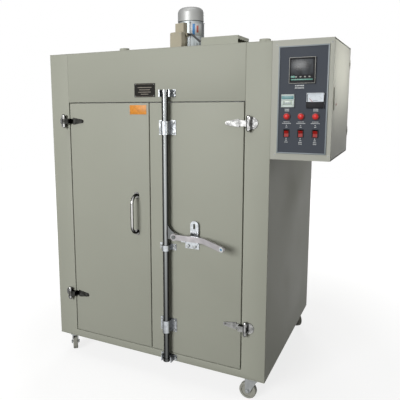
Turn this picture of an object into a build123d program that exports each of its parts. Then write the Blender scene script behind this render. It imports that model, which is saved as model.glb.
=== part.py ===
from build123d import *
import math
import os

os.makedirs("parts", exist_ok=True)

# Industrial two-door drying oven, millimetres, +Z up, the doors face -Y.
# Worked in a cabinet frame first: X from the cabinet's middle, Y from its front face, Z from the floor.

# Cabinet
cabinet_w = 1080.0
cabinet_h = 1412.0
cabinet_d = 904.0
caster_h = 108.0
skin_t = 2.0
base_t = 3.0

# Door opening in the front frame
stile_w = 104.0
sill_h = 34.0
lintel_h = 226.5
jamb_d = 62.0
door_gap = 4.0

# Chamber and its air ducts
liner_t = 2.0
chamber_w = 800.0
chamber_d = 740.0
chamber_floor_up = 84.0
chamber_mouth_h = 1056.0
roof_insulation = 100.0
duct_w = 40.0
duct_t = 2.0
plenum_plate_t = 2.0
slot_w = 60.0
slot_h = 8.0
slot_rows = 12
slot_columns = 7
runner_w = 18.0
runner_t = 2.0
runner_levels = 5
shelf_count = 3
shelf_bar = 8.0
shelf_wire_d = 5.0
shelf_wires = 17

# Doors
door_skin_t = 1.5
door_rim_d = 20.0
door_t = 60.0
plug_inset = 8.0
gasket_w = 20.0
seat_gap = 0.3

# Door hinges
hinge_out = 24.0
hinge_proud = 20.0
hinge_pin_r = 5.0
hinge_barrel_r = 8.0
hinge_barrel_h = 66.0
hinge_knob_r = 7.5
strap_len = 102.0
strap_wide = 33.0
strap_tip = 17.0
strap_t = 4.0
leaf_r = 24.0
leaf_reach = 8.0
hinge_low_up = 234.0
hinge_high_up = 1098.0
running_gap = 0.08
knuckle_gap = 0.5
mount_screw_r = 3.6
mount_screw_h = 1.6

# Lock gear on the right door
rod_x = 91.0
rod_r = 13.0
rod_out = 28.0
rod_low_up = 8.0
rod_high_up = 1236.0
cam_r = 16.0
cam_h = 14.0
keeper_w = 78.0
keeper_h = 30.0
keeper_half = 21.0
keeper_cheek = 5.0
keeper_high_up = 1221.5
keeper_low_up = 18.0
guide_w = 80.0
guide_h = 63.0
guide_high_up = 1075.0
guide_low_up = 176.0
saddle_up = 545.0
saddle_h = 28.0
guide_wall = 4.0
lever_up = 604.0
lever_h = 24.0
lever_t = 10.0
lever_eye_r = 15.0
lever_bend = 90.0
lever_pin_r = 4.0
lever_out = 45.0
lever_pivot_x = 140.0
lever_bend_x = 274.0
lever_end_x = 375.0
lever_end_out = 85.0
lever_end_drop = 14.0
gusset_rise = 46.0
catch_x = 208.5
catch_w = 65.0
catch_high_up = 595.0
catch_shelf_w = 22.0
catch_h = 46.0
tongue_w = 38.0
tongue_top_up = 676.0
tongue_t = 4.0
tongue_out = 9.0
tongue_pin_r = 5.0

# Bow handle on the left door
bow_x = -70.0
bow_low_up = 592.0
bow_high_up = 766.0
bow_out = 45.0
bow_r = 7.0
bow_bend = 37.0
bow_foot_r = 13.0
bow_foot_t = 4.0

# Plate on the lintel
sign_x = -20.5
sign_up = 1236.0
sign_w = 103.0
sign_h = 60.0
sign_t = 1.5

# Control box
box_w = 227.0
box_h = 453.0
box_d = 469.0
box_t = 2.0
box_door_gap = 3.0
box_pin_r = 2.5
box_knuckle_r = 5.0
box_knuckle_h = 38.0
box_knuckle_clear = 0.3
latch_h = 84.0
latch_w = 26.0
latch_proud = 5.0
latch_from_front = 34.0
latch_up_box = 232.0
latch_drum_r = 9.0

# Instruments, placed from the middle of the instrument plate
plate_w = 185.0
plate_h = 405.0
plate_rim = 4.0
plate_rim_proud = 4.0
plate_t = 2.0
plate_shift = 5.0
plate_up_box = 227.5
row_shift = 2.5
controller_size = 96.0
controller_up = 111.0
timer_size = 48.0
meter_w = 64.0
meter_h = 56.0
small_row_up = -1.0
small_row_side = 50.5
lamp_pitch = 53.5
lamp_row_up = -60.0
lamp_r = 10.5
lamp_ring_r = 13.5
switch_row_up = -124.0
switch_w = 24.0
switch_h = 31.0
rocker_w = 16.0
rocker_h = 24.0
rocker_axis_in = 3.0
rocker_tilt = 10.0
bezel_t = 8.0

# Fan motor on the roof
motor_y = 452.0
motor_r = 63.0
motor_flange_r = 80.0
motor_flange_t = 10.0
motor_body_h = 171.0
cowl_r = 65.5
cowl_h = 68.0
cowl_cone_h = 25.0
cowl_cone_in = 28.0
cowl_t = 2.0
shaft_r = 10.0
shaft_drop = 140.0
wheel_r = 150.0
wheel_h = 70.0
wheel_blades = 12
cooler_r = 54.0
cooler_h = 16.0
terminal_w = 80.0
terminal_h = 112.0
terminal_up = 46.0
terminal_reach = 82.0
terminal_turn = 20.0
terminal_lid_t = 26.0
terminal_lid_drop = 18.0
cable_r = 5.0
cable_entry_in = 70.0
cable_entry_drop = 10.0

# Low box on the roof beside the motor, and the two vent stubs
roof_box_x = 120.0
roof_box_y = 300.0
roof_box_w = 181.0
roof_box_d = 165.0
roof_box_h = 71.0
roof_box_t = 1.5
vent_x = 388.0
vent_y = 440.0
vent_r = 22.0
vent_wall = 2.0
vent_h = 62.0
vent_cap_r = 27.0
vent_cap_h = 14.0

# Casters
caster_in_x = 58.0
caster_in_y = 40.0
caster_plate_w = 90.0
caster_plate_d = 68.0
caster_plate_t = 4.0
wheel_d = 75.0
wheel_w = 24.0
caster_trail = 24.0
axle_r = 5.0
fork_leg_t = 2.5
fork_side_gap = 1.5
race_r = 24.0
race_h = 11.0
kingpin_r = 6.0
caster_turns = {"fl": 128.0, "fr": 180.0, "rl": -62.0, "rr": -48.0}

# Derived places
half_w = cabinet_w / 2
z0 = caster_h
roof_z = z0 + cabinet_h
open_half = half_w - stile_w
open_low = z0 + sill_h
open_high = roof_z - lintel_h
door_low = open_low + door_gap
door_high = open_high - door_gap
door_side = open_half - door_gap
door_mid = door_gap / 2
chamber_half = chamber_w / 2
chamber_low = z0 + chamber_floor_up
mouth_high = chamber_low + chamber_mouth_h
liner_high = roof_z - skin_t - roof_insulation
chamber_back = jamb_d + liner_t + chamber_d
hinge_x = door_side + hinge_out
hinge_y = -hinge_proud
box_left = half_w
box_right = half_w + box_w
box_high = roof_z - 1.0
box_low = box_high - box_h
plate_x = half_w + box_w / 2 + plate_shift
plate_z = box_low + plate_up_box
duct_in = chamber_half - duct_w
plenum_z = mouth_high + 2.0
tongue_x = catch_x + catch_w / 2 - tongue_w / 2
tongue_z = z0 + catch_high_up - 10.0
rotor_low = liner_high - shaft_drop

# The frame handed on: X and Y from the middle of the whole box, Z from the floor
lever_run_x = lever_end_x - lever_bend_x
lever_run_y = lever_end_out - lever_out
lever_tip_y = (lever_h * lever_run_y + lever_t * lever_run_x) / math.hypot(lever_run_x, lever_run_y) / 2
reach_front = -lever_end_out - lever_tip_y
reach_back = cabinet_d
reach_right = box_right + latch_proud
shift_x = -(reach_right - half_w) / 2
shift_y = -(reach_front + reach_back) / 2


def slab(x0, x1, y0, y1, low, high):
    """A block between two corners."""
    return Pos((x0 + x1) / 2, (y0 + y1) / 2, (low + high) / 2) * Box(x1 - x0, y1 - y0, high - low)


def post(x, y, low, high, r):
    """A round bar along Z."""
    return Pos(x, y, (low + high) / 2) * Cylinder(r, high - low)


def bar_x(y, z, x0, x1, r):
    """A round bar along X."""
    return Pos((x0 + x1) / 2, y, z) * Rot(0, 90, 0) * Cylinder(r, x1 - x0)


def bar_y(x, z, y0, y1, r):
    """A round bar along Y."""
    return Pos(x, (y0 + y1) / 2, z) * Rot(90, 0, 0) * Cylinder(r, y1 - y0)


def group(pieces):
    """Separate solids that share one node."""
    return Compound(children=list(pieces))


def mirror_x(shape):
    return shape.mirror(Plane.YZ)


def save(name, shape):
    export_step(Pos(shift_x, shift_y, 0) * shape, "parts/" + name + ".step")


def casing():
    """Outer sheets of the cabinet, and the front frame with its seams."""
    side = slab(-half_w, -half_w + skin_t, skin_t, cabinet_d - skin_t, z0 + base_t, roof_z - skin_t)
    save("side_panels", group([side, mirror_x(side)]))
    save("back_panel", slab(-half_w, half_w, cabinet_d - skin_t, cabinet_d, z0 + base_t, roof_z - skin_t))
    roof = slab(-half_w, half_w, 0, cabinet_d, roof_z - skin_t, roof_z)
    roof -= post(0, motor_y, roof_z - 5, roof_z + 1, shaft_r + 6)
    for side_x in (-vent_x, vent_x):
        roof -= post(side_x, vent_y, roof_z - 5, roof_z + 1, vent_r - vent_wall)
    save("roof_panel", roof)
    save("base_pan", slab(-half_w, half_w, 0, cabinet_d, z0, z0 + base_t))
    stile = slab(-half_w, -open_half, 0, skin_t, z0 + base_t, roof_z - skin_t)
    stile += slab(-open_half - skin_t, -open_half, skin_t, jamb_d, z0 + base_t, roof_z - skin_t)
    save("front_stiles", group([stile, mirror_x(stile)]))
    lintel = slab(-open_half, open_half, 0, skin_t, open_high, roof_z - skin_t)
    lintel += slab(-open_half, open_half, skin_t, jamb_d, open_high, open_high + skin_t)
    sill = slab(-open_half, open_half, 0, skin_t, z0 + base_t, open_low)
    sill += slab(-open_half, open_half, skin_t, jamb_d, open_low - skin_t, open_low)
    save("front_rails", group([lintel, sill]))


def insulation():
    """Mineral wool slabs between the casing and the liner."""
    inner = chamber_half + liner_t
    low, high = z0 + base_t, roof_z - skin_t
    back = cabinet_d - skin_t
    front = jamb_d + liner_t
    side = slab(-half_w + skin_t, -open_half - skin_t, skin_t, back, low, high)
    side += slab(-open_half - skin_t, -inner, front, back, low, high)
    top = slab(-inner, inner, front, back, liner_high, high)
    top -= post(0, motor_y, liner_high - 1, high + 1, shaft_r + 6)
    for side_x in (-vent_x, vent_x):
        top -= post(side_x, vent_y, liner_high - 1, high + 1, vent_r - vent_wall)
    header = slab(-open_half, open_half, skin_t, jamb_d, open_high + skin_t, high)
    bottom = slab(-inner, inner, front, back, low, chamber_low - liner_t)
    rear = slab(-inner, inner, chamber_back + liner_t, back, chamber_low - liner_t, liner_high)
    save("insulation_slabs", group([side, mirror_x(side), top, header, bottom, rear]))


def liner():
    """Chamber shell, open at the front, with the flange that the door seals meet."""
    inner = chamber_half + liner_t
    shell = slab(-inner, inner, jamb_d, chamber_back + liner_t, chamber_low - liner_t, liner_high)
    shell -= slab(-chamber_half, chamber_half, jamb_d + liner_t, chamber_back, chamber_low, liner_high - liner_t)
    shell += slab(-open_half, open_half, jamb_d, jamb_d + liner_t, open_low, liner_high)
    shell -= slab(-chamber_half, chamber_half, jamb_d - 1, jamb_d + liner_t + 1, chamber_low, mouth_high)
    shell -= post(0, motor_y, liner_high - liner_t - 1, liner_high + 1, shaft_r + 6)
    for side_x in (-vent_x, vent_x):
        shell -= post(side_x, vent_y, liner_high - liner_t - 1, liner_high + 1, vent_r - vent_wall)
    save("chamber_liner", shell)


def runner_z(level):
    """Top of the shelf runners at one level."""
    return chamber_low + chamber_mouth_h * (level + 0.55) / runner_levels


def ducts():
    """Side duct sheets with air slots and shelf runners, and the plenum plate over the chamber."""
    front, back = jamb_d + liner_t, chamber_back
    sheet = slab(duct_in, duct_in + duct_t, front, back, chamber_low, plenum_z)
    sheet += slab(duct_in + duct_t, chamber_half, front, front + duct_t, chamber_low, plenum_z)
    row_step = chamber_mouth_h / slot_rows
    column_step = (back - front) / (slot_columns + 0.5)
    slots = []
    for row in range(slot_rows):
        for column in range(slot_columns):
            y = front + column_step * (column + 0.75)
            z = chamber_low + row_step * (row + 0.5)
            slots.append(slab(duct_in - 1, duct_in + duct_t + 1, y - slot_w / 2, y + slot_w / 2,
                              z - slot_h / 2, z + slot_h / 2))
    sheet -= slots
    for level in range(runner_levels):
        top = runner_z(level)
        sheet += slab(duct_in - runner_w, duct_in, front + 20, back - 20, top - runner_t, top)
    save("duct_panels", group([sheet, mirror_x(sheet)]))
    plate = slab(-duct_in - duct_t, duct_in + duct_t, front, back, plenum_z, plenum_z + plenum_plate_t)
    plate -= post(0, motor_y, plenum_z - 1, plenum_z + plenum_plate_t + 1, wheel_r * 0.8)
    save("plenum_plate", plate)


def shelves():
    """Wire shelves that stand on the runners."""
    half = duct_in - 1.0
    front, back = jamb_d + liner_t + 24, chamber_back - 24
    shelf_list = []
    for number in range(shelf_count):
        low = runner_z(number * 2 if number * 2 < runner_levels else runner_levels - 1)
        frame = slab(-half, half, front, back, low, low + shelf_bar)
        frame -= slab(-half + shelf_bar, half - shelf_bar, front + shelf_bar, back - shelf_bar,
                      low - 1, low + shelf_bar + 1)
        step = (2 * half - shelf_bar) / (shelf_wires + 1)
        wires = [bar_y(-half + shelf_bar / 2 + step * (i + 1), low + shelf_bar / 2,
                       front + shelf_bar / 2, back - shelf_bar / 2, shelf_wire_d / 2)
                 for i in range(shelf_wires)]
        frame += wires
        shelf_list.append(frame)
    save("wire_shelves", group(shelf_list))


def heaters():
    """Hairpin heater tubes beside the fan wheel, held by the back wall of the plenum."""
    tube_r = 6.0
    rise = 44.0
    low = plenum_z + 50.0
    nose = jamb_d + 70.0
    tubes = []
    for side in (-1, 1):
        for number in range(3):
            x = side * (wheel_r + 45 + number * 55)
            path = FilletPolyline((x, chamber_back, low), (x, nose, low), (x, nose, low + rise),
                                  (x, chamber_back, low + rise), radius=rise * 0.45)
            section = Plane(origin=(x, chamber_back, low), z_dir=(0, -1, 0)) * Circle(tube_r)
            tubes.append(sweep(section, path=path))
    save("heater_tubes", group(tubes))


def door(side, name):
    """One insulated door: outer skin, inner pan, core and seal. Side is -1 left, 1 right."""
    t = door_skin_t
    low, high = door_low, door_high
    skin = slab(door_mid, door_side, 0, door_rim_d, low, high)
    skin -= slab(door_mid + t, door_side - t, t, door_rim_d + 1, low + t, high - t)
    px0, px1 = door_mid + plug_inset, door_side - plug_inset
    pz0, pz1 = low + plug_inset, high - plug_inset
    pan = slab(door_mid + t, door_side - t, door_rim_d - t, door_rim_d, low + t, high - t)
    pan += slab(px0, px1, door_rim_d, door_t, pz0, pz1)
    pan -= slab(px0 + t, px1 - t, door_rim_d - t - 1, door_t - t, pz0 + t, pz1 - t)
    core = slab(door_mid + t, door_side - t, t, door_rim_d - t, low + t, high - t)
    core += slab(px0 + t, px1 - t, door_rim_d - t, door_t - t, pz0 + t, pz1 - t)
    seal_back = jamb_d - seat_gap
    seal = slab(px0 + 2, px1 - 2, door_t, seal_back, pz0 + 2, pz1 - 2)
    seal -= slab(px0 + 2 + gasket_w, px1 - 2 - gasket_w, door_t - 1, seal_back + 1,
                 pz0 + 2 + gasket_w, pz1 - 2 - gasket_w)
    for label, shape in (("skin", skin), ("liner", pan), ("core", core), ("gasket", seal)):
        save("door_%s_%s" % (name, label), shape if side > 0 else mirror_x(shape))


def hinge_strap(z):
    """Door half of a hinge on the right: tapered strap, curved neck and middle knuckle."""
    edge = door_side
    wide_x = edge - 19.0
    tip_x = hinge_x - strap_len + strap_tip / 2
    outline = Polyline((wide_x, -strap_wide / 2), (tip_x, -strap_tip / 2), (tip_x, strap_tip / 2),
                       (wide_x, strap_wide / 2), close=True)
    strap = extrude(Plane.XZ * make_face(outline), strap_t)
    strap += bar_y(tip_x, 0, -strap_t, 0, strap_tip / 2)
    neck = slab(wide_x, hinge_x, -strap_t, 0, -12, 12)
    neck += slab(edge - 6, hinge_x, hinge_y - 4, -strap_t + 0.5, -12, 12)
    neck += post(hinge_x, hinge_y, -12, 12, hinge_barrel_r)
    neck -= slab(edge - 1, hinge_x + 20, -strap_t, 20, -20, 20)
    neck -= post(hinge_x, hinge_y, -20, 20, hinge_pin_r + running_gap)
    strap += neck
    for x, dz in ((tip_x, 0), (wide_x, 9), (wide_x, -9)):
        strap += bar_y(x, dz, -strap_t - mount_screw_h, -strap_t + 0.5, mount_screw_r)
    return Pos(0, 0, z) * strap


def hinge_leaf(z):
    """Frame half of a hinge on the right: half-round leaf with two outer knuckles."""
    inner_x = hinge_x + 2.0
    leaf = bar_y(inner_x + leaf_reach, 0, -strap_t, 0, leaf_r)
    leaf -= slab(inner_x - leaf_r, inner_x + leaf_reach, -strap_t - 1, 1, -leaf_r - 1, leaf_r + 1)
    leaf += slab(inner_x, inner_x + leaf_reach, -strap_t, 0, -leaf_r, leaf_r)
    half_h = hinge_barrel_h / 2 - hinge_knob_r
    for low, high in ((12 + knuckle_gap, half_h), (-half_h, -12 - knuckle_gap)):
        knuckle = post(hinge_x, hinge_y, low, high, hinge_barrel_r)
        knuckle += slab(hinge_x, hinge_x + 9, hinge_y - 5, -strap_t + 0.5, low, high)
        leaf += knuckle
    leaf -= post(hinge_x, hinge_y, -40, 40, hinge_pin_r)
    for dx, dz in ((25, 0), (15, 15), (15, -15)):
        leaf += bar_y(inner_x + dx, dz, -strap_t - mount_screw_h, -strap_t + 0.5, mount_screw_r)
    return Pos(0, 0, z) * leaf


def hinge_pin(z):
    """Hinge pin with a ball at each end."""
    half_h = hinge_barrel_h / 2 - hinge_knob_r
    pin = post(hinge_x, hinge_y, -half_h, half_h, hinge_pin_r)
    for side in (-1, 1):
        ball = Pos(hinge_x, hinge_y, side * half_h) * Sphere(hinge_knob_r)
        cut = slab(hinge_x - 20, hinge_x + 20, hinge_y - 20, hinge_y + 20, -half_h, half_h)
        pin += ball - cut
    return Pos(0, 0, z) * pin


def hinges():
    heights = (z0 + hinge_low_up, z0 + hinge_high_up)
    straps = [hinge_strap(z) for z in heights]
    save("hinge_straps_right", group(straps))
    save("hinge_straps_left", group(mirror_x(s) for s in straps))
    fixed = [hinge_leaf(z) for z in heights] + [hinge_pin(z) for z in heights]
    save("frame_hinges", group(fixed + [mirror_x(s) for s in fixed]))


def bow_handle():
    """Bent round handle with two feet on the left door."""
    low, high = z0 + bow_low_up, z0 + bow_high_up
    path = FilletPolyline((bow_x, 0, low), (bow_x, -bow_out, low), (bow_x, -bow_out, high), (bow_x, 0, high),
                          radius=bow_bend)
    section = Plane(origin=(bow_x, 0, low), z_dir=(0, -1, 0)) * Circle(bow_r)
    handle = sweep(section, path=path)
    for z in (low, high):
        handle += bar_y(bow_x, z, -bow_foot_t, 0, bow_foot_r)
    save("bow_handle", handle)


def rod_guide(up, height):
    """Bracket on the door that carries the lock rod."""
    z = z0 + up
    guide = slab(rod_x - guide_w / 2, rod_x + guide_w / 2, -guide_wall, 0, z - height / 2, z + height / 2)
    wall = rod_r + guide_wall
    guide += slab(rod_x - wall, rod_x + wall, -rod_out, 0, z - height * 0.45, z + height * 0.45)
    guide += post(rod_x, -rod_out, z - height * 0.45, z + height * 0.45, wall)
    guide -= post(rod_x, -rod_out, z - height, z + height, rod_r + running_gap)
    for sx in (-1, 1):
        for sz in (-1, 1):
            guide += bar_y(rod_x + sx * (guide_w / 2 - 9), z + sz * (height / 2 - 9),
                           -guide_wall - 3, -guide_wall + 0.5, 4.5)
    return guide


def keeper(up, height):
    """Fork on the frame that takes the cam at one end of the lock rod."""
    z = z0 + up
    piece = slab(rod_x - keeper_w / 2, rod_x + keeper_w / 2, -4, 0, z - height / 2, z + height / 2)
    for side in (-1, 1):
        x = rod_x + side * (keeper_half + keeper_cheek / 2)
        piece += slab(x - keeper_cheek / 2, x + keeper_cheek / 2, -rod_out - 6, 0, z - height / 2, z + height / 2)
        piece += bar_y(rod_x + side * (keeper_w / 2 - 6), z, -7, -3.5, 4.0)
    return piece


def lock_gear():
    """Rod with cams, its lever, the guides and the catch that holds the lever."""
    low, high = z0 + rod_low_up, z0 + rod_high_up
    lever_z = z0 + lever_up
    rod = post(rod_x, -rod_out, low, high, rod_r)
    for z in (low + cam_h / 2, high - cam_h / 2):
        rod += post(rod_x, -rod_out, z - cam_h / 2, z + cam_h / 2, cam_r)
    half_t = 4.0
    plane = Plane(origin=(0, -rod_out + half_t, 0), x_dir=(1, 0, 0), z_dir=(0, -1, 0))
    edge_x, low_z = lever_pivot_x + 13, lever_z - 16
    outline = Polyline((rod_x, lever_z + gusset_rise), (rod_x, low_z), (edge_x, low_z), (edge_x, lever_z + 12))
    hollow = ThreePointArc((edge_x, lever_z + 12), (rod_x + 34, lever_z + 21), (rod_x + rod_r, lever_z + gusset_rise))
    top = Line((rod_x + rod_r, lever_z + gusset_rise), (rod_x, lever_z + gusset_rise))
    rod += extrude(plane * make_face([outline, hollow, top]), 2 * half_t)
    rod -= bar_y(lever_pivot_x, lever_z, -rod_out - 10, -rod_out + 10, lever_pin_r)
    pin = bar_y(lever_pivot_x, lever_z, -lever_out - 6.5, -rod_out + half_t, lever_pin_r)
    pin += bar_y(lever_pivot_x, lever_z, -lever_out - 9.5, -lever_out - 6.5, lever_pin_r + 5)
    pin += bar_y(lever_pivot_x, lever_z, -rod_out + half_t, -rod_out + half_t + 3, lever_pin_r + 2)
    save("lock_rod", group([rod, pin]))

    eye_back = -rod_out - half_t - 0.5
    tip = Vector(lever_end_x, -lever_end_out, lever_z - lever_end_drop)
    path = FilletPolyline((lever_pivot_x, -lever_out, lever_z), (lever_bend_x, -lever_out, lever_z), tip,
                          radius=lever_bend)
    section = Plane(origin=(lever_pivot_x, -lever_out, lever_z), x_dir=(0, 1, 0), z_dir=(1, 0, 0))
    lever = sweep(section * Rectangle(lever_t, lever_h), path=path)
    aim = (tip - Vector(lever_bend_x, -lever_out, lever_z)).normalized()
    face = Vector(aim.Y, -aim.X, 0).normalized()
    lever += Plane(origin=tip, x_dir=aim, z_dir=face) * Cylinder(lever_h / 2, lever_t)
    lever += bar_y(lever_pivot_x, lever_z, -lever_out - lever_t / 2 - 1, eye_back, lever_eye_r)
    lever -= bar_y(lever_pivot_x, lever_z, -lever_out - 20, eye_back + 1, lever_pin_r + running_gap)
    save("lever", lever)

    base_high = z0 + catch_high_up
    base_left = catch_x - catch_w / 2
    base = slab(base_left, base_left + catch_w, -guide_wall, 0, base_high - catch_h, base_high)
    shelf_z = lever_z - lever_h / 2 - seat_gap
    base += slab(base_left, base_left + catch_shelf_w, -lever_out - lever_t / 2, 0, shelf_z - 4, shelf_z)
    for x in (catch_x - 18, catch_x + 12):
        base += bar_y(x, base_high - 36, -guide_wall - 4, -guide_wall + 0.5, 6)
    base += bar_y(tongue_x, tongue_z, -tongue_out, -guide_wall + 0.5, tongue_pin_r + 4)
    base += bar_y(tongue_x, tongue_z, -tongue_out - tongue_t - seat_gap, -tongue_out, tongue_pin_r)
    base += bar_y(tongue_x, tongue_z, -tongue_out - tongue_t - 3, -tongue_out - tongue_t - seat_gap, tongue_pin_r + 3)
    guides = [rod_guide(guide_low_up, guide_h), rod_guide(guide_high_up, guide_h), rod_guide(saddle_up, saddle_h)]
    save("rod_brackets", group(guides + [base]))

    back = -tongue_out - seat_gap / 2
    front = back - tongue_t + seat_gap / 2
    top = z0 + tongue_top_up - tongue_w / 2
    tongue = slab(tongue_x - tongue_w / 2, tongue_x + tongue_w / 2, front, back, tongue_z, top)
    tongue += bar_y(tongue_x, tongue_z, front, back, tongue_w / 2)
    tongue += bar_y(tongue_x, top, front, back, tongue_w / 2)
    tongue -= slab(tongue_x - 5, tongue_x + 5, front - 1, back + 1, top - 16, top + 6)
    tongue -= bar_y(tongue_x, tongue_z, front - 1, back + 1, tongue_pin_r + running_gap)
    save("catch_tongue", tongue)
    save("rod_keepers", group([keeper(keeper_high_up, keeper_h), keeper(keeper_low_up, keeper_h - 4)]))


def sign():
    save("sign_plate", slab(sign_x - sign_w / 2, sign_x + sign_w / 2, -sign_t, 0,
                            z0 + sign_up - sign_h / 2, z0 + sign_up + sign_h / 2))


def control_box():
    """Box on the right side of the cabinet, its hinged side door and the door's latch."""
    t = box_t
    shell = slab(box_left, box_right, 0, box_d, box_low, box_high)
    shell -= slab(box_left + t, box_right + 1, t, box_d - t, box_low + t, box_high - t)
    rim = plate_rim
    shell += slab(plate_x - plate_w / 2, plate_x + plate_w / 2, -plate_rim_proud, 0,
                  plate_z - plate_h / 2, plate_z + plate_h / 2)
    shell -= slab(plate_x - plate_w / 2 + rim, plate_x + plate_w / 2 - rim, -plate_rim_proud - 1, 0,
                  plate_z - plate_h / 2 + rim, plate_z + plate_h / 2 - rim)
    shell -= slab(plate_x - plate_w / 2 + 16, plate_x + plate_w / 2 - 16, -1, t + 1,
                  plate_z - plate_h / 2 + 16, plate_z + plate_h / 2 - 16)
    pin_x, pin_y = box_right - 4.0, box_d + box_knuckle_r + box_knuckle_clear
    heights = (box_low + 90, box_high - 70)
    door_x0, door_x1 = box_right - t, box_right
    panel = slab(door_x0, door_x1, t + box_door_gap, box_d - t - box_door_gap,
                 box_low + t + box_door_gap, box_high - t - box_door_gap)
    pins = []
    for z in heights:
        for low, high in ((z - box_knuckle_h / 2, z - 7), (z + 7, z + box_knuckle_h / 2)):
            shell += post(pin_x, pin_y, low, high, box_knuckle_r)
            shell += slab(pin_x - 12, pin_x, box_d - 0.5, box_d + 3, low, high)
        panel += post(pin_x, pin_y, z - 7 + knuckle_gap, z + 7 - knuckle_gap, box_knuckle_r)
        arm = slab(door_x0 + 0.5, door_x1 + 2, box_d - 16, pin_y, z - 7 + knuckle_gap, z + 7 - knuckle_gap)
        arm -= slab(box_left, box_right + 0.4, box_d - t - box_door_gap + 0.01, box_d + 0.4, box_low, box_high)
        panel += arm
        shell -= post(pin_x, pin_y, z - 40, z + 40, box_pin_r)
        panel -= post(pin_x, pin_y, z - 40, z + 40, box_pin_r + running_gap)
        pins.append(post(pin_x, pin_y, z - box_knuckle_h / 2, z + box_knuckle_h / 2, box_pin_r))
    latch_y = latch_from_front
    latch_z = box_low + latch_up_box
    panel += slab(door_x1 - 0.5, door_x1 + latch_proud - 2, latch_y - latch_w / 2, latch_y + latch_w / 2,
                  latch_z - latch_h / 2, latch_z + latch_h / 2)
    drum_z = latch_z - 14
    panel -= bar_x(latch_y, drum_z, door_x0 - 5, door_x1 + 20, latch_drum_r + running_gap)
    save("control_box", group([shell] + pins))
    save("control_door", panel)
    drum = bar_x(latch_y, drum_z, door_x0 - 12, door_x1 + latch_proud, latch_drum_r)
    drum -= slab(door_x1 + latch_proud - 2, door_x1 + latch_proud + 1, latch_y - 1.2, latch_y + 1.2,
                 drum_z - 6, drum_z + 6)
    drum += slab(door_x0 - 12, door_x0 - 9, latch_y - 8, latch_y + 8, drum_z - 26, drum_z + 8)
    save("door_latch", drum)


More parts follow.
